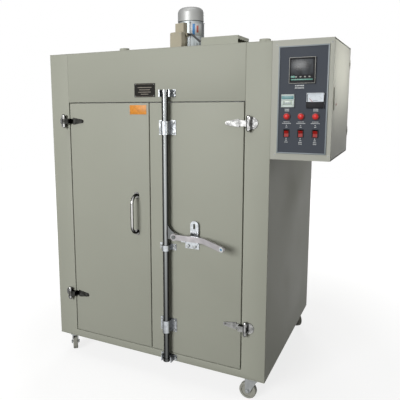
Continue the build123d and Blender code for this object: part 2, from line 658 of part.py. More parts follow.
def instruments():
    """Instrument plate with the controller, timer, meter, lamps and switches."""
    x, z = plate_x, plate_z
    clear = seat_gap
    inner_w = plate_w / 2 - plate_rim - clear
    inner_h = plate_h / 2 - plate_rim - clear
    plate = slab(x - inner_w, x + inner_w, -plate_t, 0, z - inner_h, z + inner_h)
    x -= row_shift
    half = controller_size / 2
    cz = z + controller_up
    body = half - 3
    plate -= slab(x - body - clear, x + body + clear, -5, 5, cz - body - clear, cz + body + clear)
    ctrl = slab(x - half, x + half, -plate_t - bezel_t, -plate_t, cz - half, cz + half)
    ctrl -= slab(x - half + 6, x + half - 6, -plate_t - bezel_t - 1, -plate_t - bezel_t + 2,
                 cz - half + 8, cz + half - 6)
    ctrl += slab(x - body, x + body, -plate_t, 80, cz - body, cz + body)
    save("temperature_controller", ctrl)

    sz = z + small_row_up
    tx = x - small_row_side
    half = timer_size / 2
    plate -= slab(tx - half + 2 - clear, tx + half - 2 + clear, -5, 5, sz - half + 2 - clear, sz + half - 2 + clear)
    timer = slab(tx - half, tx + half, -plate_t - bezel_t + 2, -plate_t, sz - half, sz + half)
    timer -= slab(tx - half + 4, tx + half - 4, -plate_t - bezel_t, -plate_t - bezel_t + 3.5, sz - half + 8, sz + 6)
    timer += slab(tx - half + 2, tx + half - 2, -plate_t, 70, sz - half + 2, sz + half - 2)
    save("timer_unit", timer)

    mx = x + small_row_side
    plate -= bar_y(mx, sz, -5, 5, 22 + clear)
    front = -plate_t - bezel_t - 2
    meter = slab(mx - meter_w / 2, mx + meter_w / 2, front, -plate_t, sz - meter_h / 2, sz + meter_h / 2)
    meter -= slab(mx - meter_w / 2 + 3, mx + meter_w / 2 - 3, front - 1, -plate_t - 3,
                  sz - meter_h / 2 + 3, sz + meter_h / 2 - 3)
    meter += bar_y(mx, sz, -plate_t, 34, 22)
    pivot_z = sz - 14
    meter += bar_y(mx, pivot_z, -plate_t - 6, -plate_t - 2.5, 1.5)
    save("panel_meter", meter)
    turn = 45.0
    needle = bar_y(mx, pivot_z, -plate_t - 7, -plate_t - 4, 4) + slab(
        mx - 0.6, mx + 0.6, -plate_t - 7, -plate_t - 6, pivot_z - 6, pivot_z + 30)
    needle -= bar_y(mx, pivot_z, -plate_t - 6, -plate_t, 1.5 + running_gap)
    needle = Pos(mx, 0, pivot_z) * Rot(0, -turn, 0) * Pos(-mx, 0, -pivot_z) * needle
    save("meter_needle", needle)

    lamps, rings, frames = [], [], []
    for number in range(3):
        lx = x + (number - 1) * lamp_pitch
        lz = z + lamp_row_up
        plate -= bar_y(lx, lz, -5, 5, lamp_r + clear)
        lens = bar_y(lx, lz, -plate_t - 8, 30, lamp_r)
        lens = fillet(lens.edges().sort_by(Axis.Y)[0], 3)
        ring = bar_y(lx, lz, -plate_t - 4, -plate_t, lamp_ring_r) - bar_y(lx, lz, -20, 5, lamp_r)
        lamps.append(lens)
        rings.append(ring)
        wz = z + switch_row_up
        cut_w, cut_h = rocker_w / 2 + 1.5, rocker_h / 2 + 1.9
        plate -= slab(lx - cut_w - 1, lx + cut_w + 1, -5, 5, wz - cut_h - 1, wz + cut_h + 1)
        frame = slab(lx - switch_w / 2, lx + switch_w / 2, -plate_t - 2.5, -plate_t, wz - switch_h / 2, wz + switch_h / 2)
        frame += slab(lx - cut_w - 0.7, lx + cut_w + 0.7, -plate_t, 26, wz - cut_h - 0.7, wz + cut_h + 0.7)
        frame -= slab(lx - cut_w + 0.8, lx + cut_w - 0.8, -plate_t - 5, 20, wz - cut_h, wz + cut_h)
        frame += bar_x(rocker_axis_in, wz, lx - cut_w, lx + cut_w, 2)
        frames.append(frame)
        face = -plate_t - 4.5
        side = Plane(origin=(lx - rocker_w / 2, 0, 0), x_dir=(0, 1, 0), z_dir=(1, 0, 0))
        outline = Polyline((face, wz + rocker_h / 2), (face + 3.5, wz), (face, wz - rocker_h / 2),
                           (rocker_axis_in + 3, wz - 6), (rocker_axis_in + 3, wz + 6), close=True)
        rocker = extrude(side * make_face(outline), rocker_w)
        rocker -= bar_x(rocker_axis_in, wz, lx - 20, lx + 20, 2 + running_gap)
        rocker = Pos(0, rocker_axis_in, wz) * Rot(rocker_tilt, 0, 0) * Pos(0, -rocker_axis_in, -wz) * rocker
        save("rocker_%d" % (number + 1), rocker)
    save("pilot_lamps", group(lamps))
    save("panel_bezels", group(rings + frames))
    save("instrument_plate", plate)

    wall = box_left + box_t
    rail = slab(wall, wall + 8, 180, 420, box_low + 200, box_low + 235)
    contactor = slab(wall + 8, wall + 93, 200, 250, box_low + 180, box_low + 260)
    relay = slab(wall + 8, wall + 70, 262, 320, box_low + 170, box_low + 270)
    strip = slab(wall + 8, wall + 50, 332, 412, box_low + 192, box_low + 243)
    for i in range(7):
        y = 336 + i * 11
        strip -= slab(wall + 40, wall + 60, y, y + 7, box_low + 200, box_low + 235)
    save("power_relays", group([rail, contactor, relay, strip]))


def cowl_body(low, height, r):
    """Round cover with a cone at its top."""
    wall_h = height - cowl_cone_h
    cone = Cone(r, r - cowl_cone_in, cowl_cone_h)
    return post(0, motor_y, low, low + wall_h, r) + Pos(0, motor_y, low + wall_h + cowl_cone_h / 2) * cone


def motor():
    """Fan motor on the roof, and the shaft with the two fan wheels."""
    low = roof_z
    body_high = low + motor_body_h
    body = post(0, motor_y, low, low + motor_flange_t, motor_flange_r)
    body += post(0, motor_y, low + motor_flange_t, body_high, motor_r)
    for i in range(4):
        a = math.radians(45 + 90 * i)
        body += post(motor_flange_r * 0.88 * math.cos(a), motor_y + motor_flange_r * 0.88 * math.sin(a),
                     low + motor_flange_t, low + motor_flange_t + 6, 5)
    for i in range(24):
        a = math.radians(15 * i)
        body -= post(motor_r * 1.02 * math.cos(a), motor_y + motor_r * 1.02 * math.sin(a),
                     low + motor_flange_t + 12, low + motor_flange_t + 60, 2.2)
    body -= post(0, motor_y, low - 1, body_high + 1, shaft_r + running_gap)
    save("motor_housing", body)
    cowl_high = body_high + cowl_h
    cowl = cowl_body(body_high, cowl_h, cowl_r) - cowl_body(body_high, cowl_h - cowl_t, cowl_r - cowl_t)
    vents = []
    for ring in range(2):
        for i in range(12):
            a = math.radians(30 * i + 15 * ring)
            r = 16 + 12 * ring
            vents.append(post(r * math.cos(a), motor_y + r * math.sin(a), cowl_high - 6, cowl_high + 1, 2.6))
    cowl -= vents
    save("motor_cowl", cowl)

    shaft = post(0, motor_y, rotor_low, body_high + 40, shaft_r)
    wheel_low = rotor_low + 8
    wheel = post(0, motor_y, wheel_low + wheel_h - 3, wheel_low + wheel_h, wheel_r)
    wheel += post(0, motor_y, wheel_low + wheel_h - 40, wheel_low + wheel_h, 24)
    wheel += post(0, motor_y, wheel_low, wheel_low + 3, wheel_r) - post(0, motor_y, wheel_low - 1, wheel_low + 4, wheel_r * 0.7)
    blades = []
    for i in range(wheel_blades):
        blade = slab(wheel_r * 0.66, wheel_r - 4, -1.5, 1.5, wheel_low + 1, wheel_low + wheel_h - 1)
        blades.append(Pos(0, motor_y, 0) * Rot(0, 0, 360 / wheel_blades * i) * blade)
    wheel += blades
    wheel -= post(0, motor_y, wheel_low - 5, wheel_low + wheel_h + 5, shaft_r)
    cool_low = body_high + 14
    cooler = post(0, motor_y, cool_low, cool_low + cooler_h, 18)
    fins = []
    for i in range(7):
        fin = slab(10, cooler_r, -1.5, 1.5, cool_low, cool_low + cooler_h)
        fins.append(Pos(0, motor_y, 0) * Rot(0, 0, 360 / 7 * i) * fin)
    cooler += fins
    cooler -= post(0, motor_y, cool_low - 5, cool_low + cooler_h + 5, shaft_r)
    save("fan_rotor", shaft + wheel + cooler)

    turn = Pos(0, motor_y, 0) * Rot(0, 0, -terminal_turn)
    tz = roof_z + terminal_up
    box = slab(-terminal_w * 0.36, terminal_w * 0.36, -terminal_reach, -motor_r * 0.5, tz, tz + terminal_h)
    box -= post(0, 0, tz - 5, tz + terminal_h + 5, motor_r)
    lid_high = tz + terminal_h * 0.60
    lid_low = tz - terminal_lid_drop
    lid = slab(-terminal_w / 2, terminal_w / 2, -terminal_reach - terminal_lid_t, -terminal_reach, lid_low, lid_high)
    lid = chamfer(lid.edges().filter_by(Axis.Y).sort_by(Axis.Z)[0:2], 16)
    lid = chamfer(lid.edges().filter_by(Axis.Y).sort_by(Axis.Z)[-2:], 5)
    gland_z = tz + 54
    gland = bar_x(-terminal_reach + 18, gland_z, terminal_w * 0.36, terminal_w * 0.36 + 14, 9)
    save("terminal_box", group([turn * (box + gland), turn * lid]))
    exit_point = (turn * Pos(terminal_w * 0.36 + 14, -terminal_reach + 18, gland_z)).position
    ahead = (turn * Pos(terminal_w * 0.36 + 40, -terminal_reach + 18, gland_z)).position
    goal = Vector(roof_box_x + 6, roof_box_y + cable_entry_in, roof_z + roof_box_h - cable_entry_drop)
    before = goal - Vector(40, 0, 0)
    path = FilletPolyline(exit_point, ahead, before, goal, radius=26)
    aim = (ahead - exit_point).normalized()
    cable = sweep(Plane(origin=exit_point, z_dir=aim) * Circle(cable_r), path=path)
    print("cable length", round(path.length, 1), "volume ratio",
          round(cable.volume / (math.pi * cable_r ** 2 * path.length), 4))
    save("motor_cable", cable)


def roof_fittings():
    """Low sheet box beside the motor, open at its right end, and the two vent stubs."""
    x0, x1 = roof_box_x, roof_box_x + roof_box_w
    y0, y1 = roof_box_y, roof_box_y + roof_box_d
    top = roof_z + roof_box_h
    t = roof_box_t
    hood = slab(x0, x1, y0, y1, roof_z, top) - slab(x0 + t, x1 + 1, y0 + t, y1 - t, roof_z - 1, top - t)
    hood += slab(x1 - t, x1, y0, y1, top - 16, top)
    hood -= bar_x(y0 + cable_entry_in, top - cable_entry_drop, x0 - 1, x0 + t + 1, cable_r + seat_gap)
    for y, side in ((y0, -1), (y1, 1)):
        a, b = sorted((y, y + side * 14))
        hood += slab(x0 + 6, x1 - 6, a, b, roof_z, roof_z + t)
    save("roof_box", hood)
    vents = []
    for side in (-1, 1):
        x = side * vent_x
        stub = post(x, vent_y, roof_z, roof_z + vent_h - vent_cap_h, vent_r)
        stub += post(x, vent_y, roof_z, roof_z + 3, vent_r + 12)
        stub -= post(x, vent_y, roof_z - 1, roof_z + vent_h, vent_r - vent_wall)
        cap = post(x, vent_y, roof_z + vent_h - vent_cap_h, roof_z + vent_h, vent_cap_r)
        cap = fillet(cap.edges().sort_by(Axis.Z)[-1], 4)
        vents += [stub, cap]
    save("roof_vents", group(vents))


def caster(name, x, y, turn):
    """One swivel caster: fork with its axle, and wheel."""
    top = z0 - caster_plate_t - 0.5
    race_low = top - race_h
    axle_z = wheel_d / 2
    place = Pos(x, y, 0) * Rot(0, 0, turn)
    inner = wheel_w / 2 + fork_side_gap
    outer = inner + fork_leg_t
    fork = post(0, 0, race_low, top, race_r)
    fork += slab(-race_r * 0.8, caster_trail + 12, -outer, outer, race_low - 4, race_low)
    outline = Polyline((-race_r * 0.8, race_low), (caster_trail + 12, race_low), (caster_trail + 9, axle_z - 9),
                       (caster_trail - 9, axle_z - 9), close=True)
    for side in (-1, 1):
        plane = Plane(origin=(0, side * inner + (fork_leg_t if side > 0 else 0), 0), x_dir=(1, 0, 0), z_dir=(0, -1, 0))
        fork += extrude(plane * make_face(outline), fork_leg_t)
    fork -= post(0, 0, race_low - 10, top + 5, kingpin_r + running_gap)
    fork -= bar_y(caster_trail, axle_z, -40, 40, axle_r)
    axle = bar_y(caster_trail, axle_z, -outer - 1.5, outer + 1.5, axle_r)
    for side in (-1, 1):
        a, b = sorted((side * outer, side * (outer + 5)))
        axle += bar_y(caster_trail, axle_z, a, b, 8)
    wheel = bar_y(caster_trail, axle_z, -wheel_w / 2, wheel_w / 2, wheel_d / 2)
    wheel = fillet(wheel.edges().filter_by(GeomType.CIRCLE), 4)
    for side in (-1, 1):
        a, b = sorted((side * wheel_w / 2 - side * 4, side * (wheel_w / 2 + 1)))
        groove = bar_y(caster_trail, axle_z, a, b, 27) - bar_y(caster_trail, axle_z, a, b, 10)
        wheel -= groove
    wheel -= bar_y(caster_trail, axle_z, -40, 40, axle_r + running_gap)
    save("caster_fork_" + name, place * group([fork, axle]))
    save("caster_wheel_" + name, place * wheel)


def casters():
    plates = []
    places = {"fl": (-1, caster_in_y), "fr": (1, caster_in_y),
              "rl": (-1, cabinet_d - caster_in_y), "rr": (1, cabinet_d - caster_in_y)}
    for name, (side, y) in places.items():
        x = side * (half_w - caster_in_x)
        plate = slab(x - caster_plate_w / 2, x + caster_plate_w / 2, y - caster_plate_d / 2, y + caster_plate_d / 2,
                     z0 - caster_plate_t, z0)
        plate += post(x, y, z0 - caster_plate_t - race_h - 8, z0 - caster_plate_t, kingpin_r)
        plates.append(plate)
        caster(name, x, y, caster_turns[name])
    save("caster_plates", group(plates))


def report_places():
    """Joint axes and the whole box, in the frame handed on."""
    def say(name, x, y, z):
        print("%-16s (%.2f, %.2f, %.2f)" % (name, x + shift_x, y + shift_y, z))
    say("door_left", -hinge_x, hinge_y, z0 + 600)
    say("door_right", hinge_x, hinge_y, z0 + 600)
    say("rod", rod_x, -rod_out, z0 + 600)
    say("lever", lever_pivot_x, -lever_out, z0 + lever_up)
    say("tongue", tongue_x, -tongue_out, tongue_z)
    say("box_door", box_right - 4.0, box_d + box_knuckle_r + box_knuckle_clear, box_low + 200)
    say("latch", box_right, latch_from_front, box_low + latch_up_box - 14)
    say("needle", plate_x - row_shift + small_row_side, 0, plate_z + small_row_up - 14)
    for number in range(3):
        say("rocker_%d" % (number + 1), plate_x - row_shift + (number - 1) * lamp_pitch, rocker_axis_in, plate_z + switch_row_up)
    say("rotor", 0, motor_y, roof_z)
    for name, side, y in (("fl", -1, caster_in_y), ("fr", 1, caster_in_y),
                          ("rl", -1, cabinet_d - caster_in_y), ("rr", 1, cabinet_d - caster_in_y)):
        x = side * (half_w - caster_in_x)
        a = math.radians(caster_turns[name])
        say("swivel_" + name, x, y, z0 - 10)
        say("wheel_" + name, x + caster_trail * math.cos(a), y + caster_trail * math.sin(a), wheel_d / 2)
        print("    wheel axis (%.5f, %.5f, 0)" % (-math.sin(a), math.cos(a)))
    say("low corner", -half_w, reach_front, 0)
    say("high corner", reach_right, reach_back, roof_z + motor_body_h + cowl_h)


casing()
insulation()
liner()
ducts()
shelves()
heaters()
door(-1, "left")
door(1, "right")
hinges()
bow_handle()
lock_gear()
sign()
control_box()
instruments()
motor()
roof_fittings()
casters()
report_places()
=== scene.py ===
import math

import bmesh
import bpy
from mathutils import Matrix, Vector


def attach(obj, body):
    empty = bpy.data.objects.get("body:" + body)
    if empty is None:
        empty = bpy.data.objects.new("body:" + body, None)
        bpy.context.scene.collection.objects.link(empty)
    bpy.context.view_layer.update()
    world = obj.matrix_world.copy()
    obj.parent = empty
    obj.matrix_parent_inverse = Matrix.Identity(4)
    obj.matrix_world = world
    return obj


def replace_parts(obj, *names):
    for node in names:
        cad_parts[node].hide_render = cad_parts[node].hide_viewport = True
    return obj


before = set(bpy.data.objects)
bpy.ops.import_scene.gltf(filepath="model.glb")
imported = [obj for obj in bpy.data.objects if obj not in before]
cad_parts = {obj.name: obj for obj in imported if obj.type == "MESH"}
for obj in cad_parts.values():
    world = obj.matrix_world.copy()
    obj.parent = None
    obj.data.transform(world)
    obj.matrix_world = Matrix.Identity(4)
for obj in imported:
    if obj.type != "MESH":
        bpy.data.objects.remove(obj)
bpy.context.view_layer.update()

# The part's frame in metres: the cabinet body's left front corner is at (LEFT, FRONT, UP)
LEFT, FRONT, UP = -0.656, -0.40497, 0.108

# Places on the cabinet body, in millimetres from its left, front and bottom
BODY_W, FRAME_TOP = 1080, 1410
ROD_X = 631
MOTOR_X, MOTOR_Y = 540, 452
VENT_OUT, VENT_Y = 388, 440
BOX_RIGHT, PANEL_X = 1307, 1196
LAMP_STEP, LAMP_Z = 53.5, 1125.5


def at(x, y, z):
    """A place in millimetres from the cabinet body's left, front and bottom, in the part's frame."""
    return Vector((LEFT + x / 1000, FRONT + y / 1000, UP + z / 1000))


# Camera, found from the cabinet's edges in the photograph
YAW, PITCH, ROLL = math.radians(27.413), math.radians(8.661), math.radians(0.538)
fwd = Vector((-math.sin(YAW) * math.cos(PITCH), math.cos(YAW) * math.cos(PITCH), -math.sin(PITCH)))
right = fwd.cross(Vector((0, 0, 1))).normalized()
down = fwd.cross(right)
cam_x = right * math.cos(ROLL) + down * math.sin(ROLL)
cam_down = -right * math.sin(ROLL) + down * math.cos(ROLL)
cam_data = bpy.data.cameras.new("camera")
cam_data.sensor_width = 36
cam_data.lens = 43.884
cam_data.shift_x = 0.0970
cam_data.shift_y = -0.0594
cam = bpy.data.objects.new("camera", cam_data)
bpy.context.scene.collection.objects.link(cam)
turn = Matrix((cam_x, -cam_down, -fwd)).transposed()
cam.matrix_world = Matrix.Translation(at(1578.9, -1893.2, 1184.7)) @ turn.to_4x4()
bpy.context.scene.camera = cam


# Materials, all procedural in object coordinates; the polished metals have a painted reflection that darkens their
# colour towards grazing edges
def node_tree(name):
    m = bpy.data.materials.new(name)
    m.use_nodes = True
    t = m.node_tree
    t.nodes.clear()
    out = t.nodes.new("ShaderNodeOutputMaterial")
    b = t.nodes.new("ShaderNodeBsdfPrincipled")
    t.links.new(b.outputs[0], out.inputs[0])
    return m, t, b


def add(t, kind, **inputs):
    n = t.nodes.new(kind)
    for key, value in inputs.items():
        n.inputs[key.replace("_", " ")].default_value = value
    return n


def reckon(t, operation, first, second):
    """A sum on two inputs, each a number or another node's output."""
    n = t.nodes.new("ShaderNodeMath")
    n.operation = operation
    for socket, value in zip(n.inputs, (first, second)):
        if isinstance(value, (int, float)):
            socket.default_value = value
        else:
            t.links.new(value, socket)
    return n.outputs[0]


def surface(name, colour, rough, metal=0.0, spread=0.04, scale=6.0, rough_spread=0.06, bump=0.0, bump_scale=300.0,
            coat=0.0, stretch=(1, 1, 1), dirt=0.0, painted_reflection=0.0, painted_glow=0.0, specular=0.5):
    """A finish with slow colour and gloss changes, a fine texture, some grime, and where asked a painted reflection
    that darkens the colour towards grazing edges and a painted glow.
    """
    m, t, b = node_tree(name)
    coords = add(t, "ShaderNodeTexCoord")
    place = add(t, "ShaderNodeMapping", Scale=stretch)
    t.links.new(coords.outputs["Object"], place.inputs["Vector"])
    noise = add(t, "ShaderNodeTexNoise", Scale=scale, Detail=6.0)
    t.links.new(place.outputs[0], noise.inputs["Vector"])
    tone = add(t, "ShaderNodeMapRange", From_Min=0.3, From_Max=0.7, To_Min=1 - spread, To_Max=1 + spread)
    t.links.new(noise.outputs[0], tone.inputs["Value"])
    amount = tone.outputs[0]
    # Painted reflection: the colour darkens towards grazing edges, standing in for the dark surroundings that polished
    # metal reflects there.
    if painted_reflection:
        facing = add(t, "ShaderNodeLayerWeight", Blend=0.5)
        painted_reflection_falloff = reckon(t, "POWER", reckon(t, "SUBTRACT", 1.0, facing.outputs["Facing"]), painted_reflection)
        amount = reckon(t, "MULTIPLY", amount, painted_reflection_falloff)
    scaled = t.nodes.new("ShaderNodeVectorMath")
    scaled.operation = "SCALE"
    scaled.inputs[0].default_value = colour
    t.links.new(amount, scaled.inputs["Scale"])
    last = scaled.outputs[0]
    if dirt:
        spots = add(t, "ShaderNodeTexNoise", Scale=2.5, Detail=9.0, Roughness=0.7)
        t.links.new(coords.outputs["Object"], spots.inputs["Vector"])
        grime = add(t, "ShaderNodeMapRange", From_Min=0.52, From_Max=0.75, To_Min=0.0, To_Max=dirt)
        t.links.new(spots.outputs[0], grime.inputs["Value"])
        mix = t.nodes.new("ShaderNodeMix")
        mix.data_type = "RGBA"
        t.links.new(grime.outputs[0], mix.inputs[0])
        t.links.new(last, mix.inputs[6])
        mix.inputs[7].default_value = (0.12, 0.105, 0.08, 1)
        last = mix.outputs[2]
    t.links.new(last, b.inputs["Base Color"])
    # Painted glow: the surface gives off a little light in its own colour, though nothing in it is lit.
    if painted_glow:
        t.links.new(last, b.inputs["Emission Color"])
        b.inputs["Emission Strength"].default_value = painted_glow
    gloss = add(t, "ShaderNodeMapRange", From_Min=0.3, From_Max=0.7, To_Min=rough - rough_spread,
                To_Max=rough + rough_spread)
    t.links.new(noise.outputs[0], gloss.inputs["Value"])
    t.links.new(gloss.outputs[0], b.inputs["Roughness"])
    b.inputs["Metallic"].default_value = metal
    b.inputs["Specular IOR Level"].default_value = specular
    b.inputs["Coat Weight"].default_value = coat
    b.inputs["Coat Roughness"].default_value = 0.25
    if bump:
        fine = add(t, "ShaderNodeTexNoise", Scale=bump_scale, Detail=3.0)
        t.links.new(place.outputs[0], fine.inputs["Vector"])
        bumps = add(t, "ShaderNodeBump", Strength=bump, Distance=0.001)
        t.links.new(fine.outputs[0], bumps.inputs["Height"])
        t.links.new(bumps.outputs[0], b.inputs["Normal"])
    return m


paint = surface("stove_enamel", (0.368, 0.375, 0.320), 0.48, spread=0.02, scale=3, bump=0.10, bump_scale=420,
                specular=0.16)
paint_box = surface("box_enamel", (0.415, 0.418, 0.372), 0.48, spread=0.02, scale=3, bump=0.10, bump_scale=420,
                    specular=0.16)
trim_grey = surface("plate_edge", (0.21, 0.24, 0.26), 0.5, spread=0.04, bump=0.08, bump_scale=420)
dark_plate = surface("dark_plate", (0.012, 0.011, 0.009), 0.6, spread=0.2, scale=30, specular=0.12)
plate_grey = surface("slate_panel", (0.056, 0.064, 0.080), 0.55, spread=0.05, scale=14, bump=0.05, bump_scale=600,
                     specular=0.12)
zinc = surface("zinc_plate", (0.62, 0.65, 0.68), 0.28, metal=1.0, spread=0.22, scale=60, rough_spread=0.12, bump=0.15,
               bump_scale=160, dirt=0.2, painted_reflection=1.8)
zinc_dull = surface("dull_zinc", (0.30, 0.31, 0.31), 0.45, metal=1.0, spread=0.15, scale=50, dirt=0.3)
zinc_rod = surface("zinc_rod", (0.48, 0.50, 0.50), 0.26, metal=1.0, spread=0.10, scale=14, rough_spread=0.1, bump=0.1,
                   bump_scale=200, stretch=(1, 1, 0.15), dirt=0.15, painted_reflection=9.0)
zinc_lever = surface("lever_zinc", (0.36, 0.345, 0.355), 0.38, metal=0.9, spread=0.10, scale=40, dirt=0.15)
# Painted reflection: the chrome's strong colour spread paints light and dark reflection streaks, and the left hinge
# straps take a darker copy whose colour is painted shade for the dark surroundings they reflect.
chrome = surface("polished_chrome", (0.66, 0.66, 0.65), 0.12, metal=1.0, spread=0.45, scale=55, rough_spread=0.04,
                 painted_reflection=5.0)
chrome_painted_shade = surface("chrome_painted_dark", (0.20, 0.20, 0.185), 0.12, metal=1.0, spread=0.6, scale=60, rough_spread=0.04,
                      painted_reflection=5.0)
chrome_handle = surface("handle_chrome", (0.88, 0.87, 0.85), 0.10, metal=1.0, spread=0.10, scale=25,
                        rough_spread=0.04, painted_reflection=8.0)
galvanised = surface("galvanised_sheet", (0.50, 0.51, 0.51), 0.45, metal=1.0, spread=0.12, scale=45, rough_spread=0.1,
                     dirt=0.15)
stainless = surface("stainless_wire", (0.60, 0.59, 0.57), 0.28, metal=1.0, spread=0.06, scale=20, painted_reflection=2.0)
heater = surface("heater_sheath", (0.20, 0.17, 0.14), 0.45, metal=1.0, spread=0.2, scale=30)
wool = surface("mineral_wool", (0.62, 0.54, 0.28), 0.95, spread=0.15, scale=60, bump=0.8, bump_scale=500)
seal = surface("silicone_seal", (0.55, 0.10, 0.05), 0.6, spread=0.05, scale=40)
black_plastic = surface("black_plastic", (0.010, 0.010, 0.012), 0.55, spread=0.1, scale=40, bump=0.1, bump_scale=900,
                        specular=0.15)
screen = surface("dark_screen", (0.030, 0.033, 0.038), 0.30, spread=0.8, scale=38, coat=0.1, specular=0.2)
teal = surface("teal_band", (0.10, 0.25, 0.27), 0.45, spread=0.08, scale=40)
green_strip = surface("green_strip", (0.07, 0.24, 0.19), 0.4, spread=0.35, scale=70)
timer_shell = surface("timer_shell", (0.50, 0.57, 0.55), 0.45, spread=0.04, scale=40)
window_green = surface("timer_window", (0.36, 0.43, 0.36), 0.3, spread=0.22, scale=160)
white_plastic = surface("white_plastic", (0.60, 0.62, 0.62), 0.45, spread=0.03, scale=40)
meter_white = surface("meter_white", (0.60, 0.65, 0.70), 0.4, spread=0.05, scale=60)
latch_pale = surface("latch_pale", (0.52, 0.50, 0.46), 0.4, metal=0.2, spread=0.08, scale=50)
print_grey = surface("faint_print", (0.30, 0.34, 0.38), 0.5, spread=0.05, scale=40)
grey_plastic = surface("grey_plastic", (0.30, 0.30, 0.28), 0.5, spread=0.05, scale=40)
motor_grey = surface("motor_aluminium", (0.52, 0.56, 0.58), 0.50, metal=0.5, spread=0.12, scale=24, bump=0.3,
                     bump_scale=180, dirt=0.2, painted_reflection=1.2, specular=0.3)
cowl_silver = surface("cowl_silver", (0.465, 0.47, 0.465), 0.42, metal=0.3, spread=0.05, scale=12, dirt=0.15,
                      painted_reflection=0.6)
beige = surface("beige_box", (0.40, 0.365, 0.28), 0.5, spread=0.06, scale=20, bump=0.1, dirt=0.25)
cable_black = surface("cable_jacket", (0.018, 0.018, 0.020), 0.5, spread=0.1, scale=40, bump=0.1)
wheel_grey = surface("wheel_tread", (0.33, 0.33, 0.29), 0.6, spread=0.12, scale=40, bump=0.2, bump_scale=200, dirt=0.3)
rotor_metal = surface("bare_aluminium", (0.62, 0.63, 0.64), 0.35, metal=1.0, spread=0.06, scale=20)
orange = surface("orange_label", (0.66, 0.24, 0.015), 0.45, spread=0.25, scale=90)
label_white = surface("white_label", (0.66, 0.68, 0.70), 0.4, spread=0.03, scale=30)
label_blue = surface("blue_stripe", (0.09, 0.28, 0.60), 0.4, spread=0.06, scale=60)
label_red = surface("red_marks", (0.55, 0.14, 0.11), 0.4, spread=0.06, scale=60)
line_white = surface("white_print", (0.50, 0.52, 0.53), 0.5, spread=0.08, scale=90)
line_tan = surface("tan_print", (0.24, 0.21, 0.17), 0.5, spread=0.2, scale=90)
red_lens = surface("red_lens", (0.56, 0.016, 0.014), 0.34, spread=0.12, scale=60, painted_glow=0.10, specular=0.35)
red_ring = surface("lamp_ring_red", (0.10, 0.008, 0.008), 0.4, spread=0.15, scale=60)
red_rocker = surface("red_rocker", (0.30, 0.010, 0.007), 0.35, spread=0.30, scale=80, painted_glow=0.05, specular=0.12)
needle_red = surface("needle_red", (0.30, 0.02, 0.015), 0.4, spread=0.05, scale=60)
rust_red = surface("latch_mark", (0.22, 0.035, 0.02), 0.45, spread=0.1, scale=60)
blue_tip = surface("blue_tip", (0.02, 0.20, 0.42), 0.35, spread=0.05, scale=60)
shadow_paint = surface("seam_shadow", (0.05, 0.052, 0.045), 0.8, spread=0.06)

NODE_MATERIALS = {
    paint: "side_panels back_panel roof_panel base_pan front_stiles front_rails door_left_skin door_right_skin "
           "roof_box roof_vents",
    paint_box: "control_box control_door",
    zinc: "rod_keepers rod_brackets catch_tongue",
    zinc_dull: "caster_plates caster_fork_fl caster_fork_fr caster_fork_rl caster_fork_rr",
    zinc_rod: "lock_rod", zinc_lever: "lever",
    latch_pale: "door_latch",
    chrome: "frame_hinges hinge_straps_right",
    chrome_painted_shade: "hinge_straps_left",
    chrome_handle: "bow_handle",
    galvanised: "chamber_liner duct_panels plenum_plate door_left_liner door_right_liner",
    stainless: "wire_shelves", heater: "heater_tubes", dark_plate: "sign_plate",
    wool: "insulation_slabs door_left_core door_right_core",
    seal: "door_left_gasket door_right_gasket", plate_grey: "instrument_plate",
    black_plastic: "temperature_controller panel_bezels", timer_shell: "timer_unit", meter_white: "panel_meter",
    grey_plastic: "power_relays", red_ring: "pilot_lamps", red_rocker: "rocker_1 rocker_2 rocker_3",
    needle_red: "meter_needle", motor_grey: "motor_housing", cowl_silver: "motor_cowl", beige: "terminal_box",
    cable_black: "motor_cable", rotor_metal: "fan_rotor",
    wheel_grey: "caster_wheel_fl caster_wheel_fr caster_wheel_rl caster_wheel_rr"}
for material, names in NODE_MATERIALS.items():
    for name in names.split():
        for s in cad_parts[name].material_slots:
            s.material = material


# Building pieces
def piece(name, bm, material, body):
    """A finished object from its shape, smoothed up to its sharp edges and riding on a body."""
    mesh = bpy.data.meshes.new(name)
    bm.to_mesh(mesh)
    bm.free()
    mesh.materials.append(material)
    mesh.shade_smooth()
    mesh.set_sharp_from_angle(angle=math.radians(35))
    o = bpy.data.objects.new(name, mesh)
    bpy.context.scene.collection.objects.link(o)
    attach(o, body)
    return o


def round_edges(bm, width, segments=2, test=None):
    """Rounds the edges that pass the test, by a width in metres."""
    edges = [e for e in bm.edges if test is None or test(e)]
    bmesh.ops.bevel(bm, geom=edges, offset=width, offset_type="OFFSET", segments=segments, profile=0.5,
                    affect="EDGES", clamp_overlap=True, material=-1)


def block(bm, a, b, bevel=0.0, segments=2):
    """A block between two corners in cabinet millimetres."""
    p, q = at(*a), at(*b)
    part = bmesh.new()
    bmesh.ops.create_cube(part, size=1)
    bmesh.ops.scale(part, vec=q - p, verts=part.verts)
    bmesh.ops.translate(part, vec=(p + q) / 2, verts=part.verts)
    if bevel:
        round_edges(part, bevel / 1000, segments)
    join(bm, part)


AXES = {"x": Matrix.Rotation(math.pi / 2, 4, "Y"), "y": Matrix.Rotation(math.pi / 2, 4, "X"), "z": Matrix.Identity(4)}


def rod(bm, centre, r, depth, axis="z", bevel=0.0, sides=40, aim=None):
    """A bar about a centre in cabinet millimetres, along an axis or towards an aim."""
    part = bmesh.new()
    bmesh.ops.create_cone(part, cap_ends=True, segments=sides, radius1=r / 1000, radius2=r / 1000,
                          depth=depth / 1000)
    if bevel:
        round_edges(part, bevel / 1000, test=lambda e: abs(e.verts[0].co.z - e.verts[1].co.z) < 1e-6)
    facing = AXES[axis] if aim is None else Vector(aim).to_track_quat("Z", "Y").to_matrix().to_4x4()
    bmesh.ops.transform(part, matrix=Matrix.Translation(at(*centre)) @ facing, verts=part.verts)
    join(bm, part)


def join(bm, part):
    """Puts a shape into a larger one."""
    mesh = bpy.data.meshes.new("part")
    part.to_mesh(mesh)
    part.free()
    bm.from_mesh(mesh)
    bpy.data.meshes.remove(mesh)


